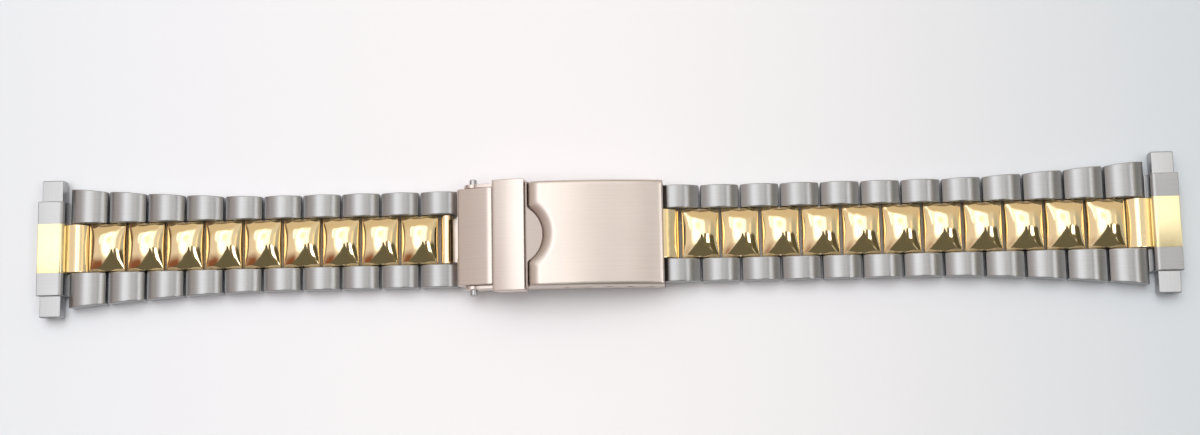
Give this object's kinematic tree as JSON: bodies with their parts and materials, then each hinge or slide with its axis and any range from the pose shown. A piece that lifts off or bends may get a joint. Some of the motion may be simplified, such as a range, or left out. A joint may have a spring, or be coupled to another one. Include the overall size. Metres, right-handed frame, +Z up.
{
  "type": "link watch bracelet",
  "caption": "Two-tone link watch bracelet with staggered rows, domed centre links, a fold-over clasp with safety latch and telescopic sprung ends.",
  "frame": {"origin": "on the surface below the middle of the bracelet's length and width", "axes": "+X along the bracelet from its short half to its long half, +Y across it towards the back of the picture's view, +Z up out of its face"},
  "size_m": [0.1632, 0.02, 0.0069],
  "materials": {
    "brushed_steel": "fine brushed",
    "polished_gold": "polished gold plate",
    "pin_steel": "turned",
    "spring_wire": "drawn wire"
  },
  "bodies": {
    "clasp_cover": {"clasp_cover": "brushed_steel", "cover_pins": "pin_steel"},
    "safety_latch": {"safety_latch": "brushed_steel"},
    "middle_blade": {"middle_blade": "brushed_steel", "blade_hinge_pin": "pin_steel"},
    "lower_blade": {"lower_blade": "brushed_steel", "left_clasp_link": "polished_gold"},
    "right_clasp_link": {"right_clasp_link": "polished_gold"},
    "left_end": {"left_end_link": "polished_gold", "left_end_sleeve": "brushed_steel", "left_end_spring": "spring_wire"},
    "left_back_tip": {"left_back_tip": "brushed_steel"},
    "left_front_tip": {"left_front_tip": "brushed_steel"},
    "right_end": {"right_end_link": "polished_gold", "right_end_sleeve": "brushed_steel", "right_end_spring": "spring_wire"},
    "right_back_tip": {"right_back_tip": "brushed_steel"},
    "right_front_tip": {"right_front_tip": "brushed_steel"},
    "left_side_links_01": {"left_side_links_01": "brushed_steel"},
    "left_side_links_02": {"left_side_links_02": "brushed_steel"},
    "left_side_links_03": {"left_side_links_03": "brushed_steel"},
    "left_side_links_04": {"left_side_links_04": "brushed_steel"},
    "left_side_links_05": {"left_side_links_05": "brushed_steel"},
    "left_side_links_06": {"left_side_links_06": "brushed_steel"},
    "left_side_links_07": {"left_side_links_07": "brushed_steel"},
    "left_side_links_08": {"left_side_links_08": "brushed_steel"},
    "left_side_links_09": {"left_side_links_09": "brushed_steel"},
    "left_side_links_10": {"left_side_links_10": "brushed_steel"},
    "left_centre_link_01": {"left_centre_link_01": "polished_gold"},
    "left_centre_link_02": {"left_centre_link_02": "polished_gold"},
    "left_centre_link_03": {"left_centre_link_03": "polished_gold"},
    "left_centre_link_04": {"left_centre_link_04": "polished_gold"},
    "left_centre_link_05": {"left_centre_link_05": "polished_gold"},
    "left_centre_link_06": {"left_centre_link_06": "polished_gold"},
    "left_centre_link_07": {"left_centre_link_07": "polished_gold"},
    "left_centre_link_08": {"left_centre_link_08": "polished_gold"},
    "left_centre_link_09": {"left_centre_link_09": "polished_gold"},
    "right_side_links_01": {"right_side_links_01": "brushed_steel"},
    "right_side_links_02": {"right_side_links_02": "brushed_steel"},
    "right_side_links_03": {"right_side_links_03": "brushed_steel"},
    "right_side_links_04": {"right_side_links_04": "brushed_steel"},
    "right_side_links_05": {"right_side_links_05": "brushed_steel"},
    "right_side_links_06": {"right_side_links_06": "brushed_steel"},
    "right_side_links_07": {"right_side_links_07": "brushed_steel"},
    "right_side_links_08": {"right_side_links_08": "brushed_steel"},
    "right_side_links_09": {"right_side_links_09": "brushed_steel"},
    "right_side_links_10": {"right_side_links_10": "brushed_steel"},
    "right_side_links_11": {"right_side_links_11": "brushed_steel"},
    "right_side_links_12": {"right_side_links_12": "brushed_steel"},
    "right_centre_link_01": {"right_centre_link_01": "polished_gold"},
    "right_centre_link_02": {"right_centre_link_02": "polished_gold"},
    "right_centre_link_03": {"right_centre_link_03": "polished_gold"},
    "right_centre_link_04": {"right_centre_link_04": "polished_gold"},
    "right_centre_link_05": {"right_centre_link_05": "polished_gold"},
    "right_centre_link_06": {"right_centre_link_06": "polished_gold"},
    "right_centre_link_07": {"right_centre_link_07": "polished_gold"},
    "right_centre_link_08": {"right_centre_link_08": "polished_gold"},
    "right_centre_link_09": {"right_centre_link_09": "polished_gold"},
    "right_centre_link_10": {"right_centre_link_10": "polished_gold"},
    "right_centre_link_11": {"right_centre_link_11": "polished_gold"}
  },
  "joints": [
    {"name": "latch_hinge", "type": "hinge", "parent": "clasp_cover", "child": "safety_latch", "pos_m": [-0.01785, 0, 0.00316], "axis": [0, 1, 0], "range_deg": [-120, 0]},
    {"name": "clasp_hinge", "type": "hinge", "parent": "clasp_cover", "child": "middle_blade", "pos_m": [-0.01785, 0, 0.00316], "axis": [0, 1, 0], "range_deg": [0, 150]},
    {"name": "blade_fold_hinge", "type": "hinge", "parent": "middle_blade", "child": "lower_blade", "pos_m": [0.00475, 0, 0.00121], "axis": [0, 1, 0], "range_deg": [-150, 0]},
    {"name": "left_back_tip_slide", "type": "slide", "parent": "left_end", "child": "left_back_tip", "axis": [0, -1, 0], "range_m": [0, 0.002], "stiffness_N_per_m": 500, "springref_m": -0.001, "deforming": ["left_end_spring"]},
    {"name": "left_front_tip_slide", "type": "slide", "parent": "left_end", "child": "left_front_tip", "axis": [0, 1, 0], "range_m": [0, 0.002], "stiffness_N_per_m": 500, "springref_m": -0.001},
    {"name": "right_back_tip_slide", "type": "slide", "parent": "right_end", "child": "right_back_tip", "axis": [0, -1, 0], "range_m": [0, 0.002], "stiffness_N_per_m": 500, "springref_m": -0.001, "deforming": ["right_end_spring"]},
    {"name": "right_front_tip_slide", "type": "slide", "parent": "right_end", "child": "right_front_tip", "axis": [0, 1, 0], "range_m": [0, 0.002], "stiffness_N_per_m": 500, "springref_m": -0.001},
    {"name": "right_clasp_link_hinge", "type": "hinge", "parent": "clasp_cover", "child": "right_clasp_link", "pos_m": [0.00745, 0, 0.00289], "axis": [0, 1, 0], "range_deg": [-7, 11]},
    {"name": "left_side_links_10_hinge", "type": "hinge", "parent": "lower_blade", "child": "left_side_links_10", "pos_m": [-0.02155, 0, 0.00131], "axis": [0, 1, 0], "range_deg": [-11, 7]},
    {"name": "right_side_links_01_hinge", "type": "hinge", "parent": "right_clasp_link", "child": "right_side_links_01", "pos_m": [0.01021, 0, 0.00217], "axis": [0, 1, 0], "range_deg": [-1.76, 16.24]},
    {"name": "left_centre_link_09_hinge", "type": "hinge", "parent": "left_side_links_10", "child": "left_centre_link_09", "pos_m": [-0.0244, 0, 0.00131], "axis": [0, 1, 0], "range_deg": [-11, 7]},
    {"name": "right_centre_link_01_hinge", "type": "hinge", "parent": "right_side_links_01", "child": "right_centre_link_01", "pos_m": [0.01302, 0, 0.00171], "axis": [0, 1, 0], "range_deg": [-2.92, 15.08]},
    {"name": "left_side_links_09_hinge", "type": "hinge", "parent": "left_centre_link_09", "child": "left_side_links_09", "pos_m": [-0.02725, 0, 0.00131], "axis": [0, 1, 0], "range_deg": [-11, 7]},
    {"name": "right_side_links_02_hinge", "type": "hinge", "parent": "right_centre_link_01", "child": "right_side_links_02", "pos_m": [0.01586, 0, 0.00145], "axis": [0, 1, 0], "range_deg": [-4.09, 13.91]},
    {"name": "left_centre_link_08_hinge", "type": "hinge", "parent": "left_side_links_09", "child": "left_centre_link_08", "pos_m": [-0.0301, 0, 0.00131], "axis": [0, 1, 0], "range_deg": [-11, 7]},
    {"name": "right_centre_link_02_hinge", "type": "hinge", "parent": "right_side_links_02", "child": "right_centre_link_02", "pos_m": [0.0187, 0, 0.00134], "axis": [0, 1, 0], "range_deg": [-5.25, 12.75]},
    {"name": "left_side_links_08_hinge", "type": "hinge", "parent": "left_centre_link_08", "child": "left_side_links_08", "pos_m": [-0.03295, 0, 0.00131], "axis": [0, 1, 0], "range_deg": [-11, 7]},
    {"name": "right_side_links_03_hinge", "type": "hinge", "parent": "right_centre_link_02", "child": "right_side_links_03", "pos_m": [0.02155, 0, 0.00131], "axis": [0, 1, 0], "range_deg": [-6.42, 11.58]},
    {"name": "left_centre_link_07_hinge", "type": "hinge", "parent": "left_side_links_08", "child": "left_centre_link_07", "pos_m": [-0.0358, 0, 0.00131], "axis": [0, 1, 0], "range_deg": [-11, 7]},
    {"name": "right_centre_link_03_hinge", "type": "hinge", "parent": "right_side_links_03", "child": "right_centre_link_03", "pos_m": [0.0244, 0, 0.00131], "axis": [0, 1, 0], "range_deg": [-7, 11]},
    {"name": "left_side_links_07_hinge", "type": "hinge", "parent": "left_centre_link_07", "child": "left_side_links_07", "pos_m": [-0.03865, 0, 0.00131], "axis": [0, 1, 0], "range_deg": [-11, 7]},
    {"name": "right_side_links_04_hinge", "type": "hinge", "parent": "right_centre_link_03", "child": "right_side_links_04", "pos_m": [0.02725, 0, 0.00131], "axis": [0, 1, 0], "range_deg": [-7, 11]},
    {"name": "left_centre_link_06_hinge", "type": "hinge", "parent": "left_side_links_07", "child": "left_centre_link_06", "pos_m": [-0.0415, 0, 0.00131], "axis": [0, 1, 0], "range_deg": [-11, 7]},
    {"name": "right_centre_link_04_hinge", "type": "hinge", "parent": "right_side_links_04", "child": "right_centre_link_04", "pos_m": [0.0301, 0, 0.00131], "axis": [0, 1, 0], "range_deg": [-7, 11]},
    {"name": "left_side_links_06_hinge", "type": "hinge", "parent": "left_centre_link_06", "child": "left_side_links_06", "pos_m": [-0.04435, 0, 0.00131], "axis": [0, 1, 0], "range_deg": [-11, 7]},
    {"name": "right_side_links_05_hinge", "type": "hinge", "parent": "right_centre_link_04", "child": "right_side_links_05", "pos_m": [0.03295, 0, 0.00131], "axis": [0, 1, 0], "range_deg": [-7, 11]},
    {"name": "left_centre_link_05_hinge", "type": "hinge", "parent": "left_side_links_06", "child": "left_centre_link_05", "pos_m": [-0.0472, 0, 0.00131], "axis": [0, 1, 0], "range_deg": [-11, 7]},
    {"name": "right_centre_link_05_hinge", "type": "hinge", "parent": "right_side_links_05", "child": "right_centre_link_05", "pos_m": [0.0358, 0, 0.00131], "axis": [0, 1, 0], "range_deg": [-7, 11]},
    {"name": "left_side_links_05_hinge", "type": "hinge", "parent": "left_centre_link_05", "child": "left_side_links_05", "pos_m": [-0.05005, 0, 0.00131], "axis": [0, 1, 0], "range_deg": [-11, 7]},
    {"name": "right_side_links_06_hinge", "type": "hinge", "parent": "right_centre_link_05", "child": "right_side_links_06", "pos_m": [0.03865, 0, 0.00131], "axis": [0, 1, 0], "range_deg": [-7, 11]},
    {"name": "left_centre_link_04_hinge", "type": "hinge", "parent": "left_side_links_05", "child": "left_centre_link_04", "pos_m": [-0.0529, 0, 0.00131], "axis": [0, 1, 0], "range_deg": [-11, 7]},
    {"name": "right_centre_link_06_hinge", "type": "hinge", "parent": "right_side_links_06", "child": "right_centre_link_06", "pos_m": [0.0415, 0, 0.00131], "axis": [0, 1, 0], "range_deg": [-7, 11]},
    {"name": "left_side_links_04_hinge", "type": "hinge", "parent": "left_centre_link_04", "child": "left_side_links_04", "pos_m": [-0.05575, 0, 0.00131], "axis": [0, 1, 0], "range_deg": [-11, 7]},
    {"name": "right_side_links_07_hinge", "type": "hinge", "parent": "right_centre_link_06", "child": "right_side_links_07", "pos_m": [0.04435, 0, 0.00131], "axis": [0, 1, 0], "range_deg": [-7, 11]},
    {"name": "left_centre_link_03_hinge", "type": "hinge", "parent": "left_side_links_04", "child": "left_centre_link_03", "pos_m": [-0.0586, 0, 0.00131], "axis": [0, 1, 0], "range_deg": [-11, 7]},
    {"name": "right_centre_link_07_hinge", "type": "hinge", "parent": "right_side_links_07", "child": "right_centre_link_07", "pos_m": [0.0472, 0, 0.00131], "axis": [0, 1, 0], "range_deg": [-7, 11]},
    {"name": "left_side_links_03_hinge", "type": "hinge", "parent": "left_centre_link_03", "child": "left_side_links_03", "pos_m": [-0.06145, 0, 0.00131], "axis": [0, 1, 0], "range_deg": [-11, 7]},
    {"name": "right_side_links_08_hinge", "type": "hinge", "parent": "right_centre_link_07", "child": "right_side_links_08", "pos_m": [0.05005, 0, 0.00131], "axis": [0, 1, 0], "range_deg": [-7, 11]},
    {"name": "left_centre_link_02_hinge", "type": "hinge", "parent": "left_side_links_03", "child": "left_centre_link_02", "pos_m": [-0.0643, 0, 0.00131], "axis": [0, 1, 0], "range_deg": [-11, 7]},
    {"name": "right_centre_link_08_hinge", "type": "hinge", "parent": "right_side_links_08", "child": "right_centre_link_08", "pos_m": [0.0529, 0, 0.00131], "axis": [0, 1, 0], "range_deg": [-7, 11]},
    {"name": "left_side_links_02_hinge", "type": "hinge", "parent": "left_centre_link_02", "child": "left_side_links_02", "pos_m": [-0.06715, 0, 0.00131], "axis": [0, 1, 0], "range_deg": [-11, 7]},
    {"name": "right_side_links_09_hinge", "type": "hinge", "parent": "right_centre_link_08", "child": "right_side_links_09", "pos_m": [0.05575, 0, 0.00131], "axis": [0, 1, 0], "range_deg": [-7, 11]},
    {"name": "left_centre_link_01_hinge", "type": "hinge", "parent": "left_side_links_02", "child": "left_centre_link_01", "pos_m": [-0.07, 0, 0.00131], "axis": [0, 1, 0], "range_deg": [-11, 7]},
    {"name": "right_centre_link_09_hinge", "type": "hinge", "parent": "right_side_links_09", "child": "right_centre_link_09", "pos_m": [0.0586, 0, 0.00131], "axis": [0, 1, 0], "range_deg": [-7, 11]},
    {"name": "left_side_links_01_hinge", "type": "hinge", "parent": "left_centre_link_01", "child": "left_side_links_01", "pos_m": [-0.07285, 0, 0.00131], "axis": [0, 1, 0], "range_deg": [-11, 7]},
    {"name": "right_side_links_10_hinge", "type": "hinge", "parent": "right_centre_link_09", "child": "right_side_links_10", "pos_m": [0.06145, 0, 0.00131], "axis": [0, 1, 0], "range_deg": [-7, 11]},
    {"name": "left_end_hinge", "type": "hinge", "parent": "left_side_links_01", "child": "left_end", "pos_m": [-0.0757, 0, 0.00131], "axis": [0, 1, 0], "range_deg": [-11, 7]},
    {"name": "right_centre_link_10_hinge", "type": "hinge", "parent": "right_side_links_10", "child": "right_centre_link_10", "pos_m": [0.0643, 0, 0.00131], "axis": [0, 1, 0], "range_deg": [-7, 11]},
    {"name": "right_side_links_11_hinge", "type": "hinge", "parent": "right_centre_link_10", "child": "right_side_links_11", "pos_m": [0.06715, 0, 0.00131], "axis": [0, 1, 0], "range_deg": [-7, 11]},
    {"name": "right_centre_link_11_hinge", "type": "hinge", "parent": "right_side_links_11", "child": "right_centre_link_11", "pos_m": [0.07, 0, 0.00131], "axis": [0, 1, 0], "range_deg": [-7, 11]},
    {"name": "right_side_links_12_hinge", "type": "hinge", "parent": "right_centre_link_11", "child": "right_side_links_12", "pos_m": [0.07285, 0, 0.00131], "axis": [0, 1, 0], "range_deg": [-7, 11]},
    {"name": "right_end_hinge", "type": "hinge", "parent": "right_side_links_12", "child": "right_end", "pos_m": [0.0757, 0, 0.00131], "axis": [0, 1, 0], "range_deg": [-7, 11]}
  ],
  "couplings": [
    {"joint": "blade_fold_hinge", "follows": "clasp_hinge", "ratio": -1}
  ]
}
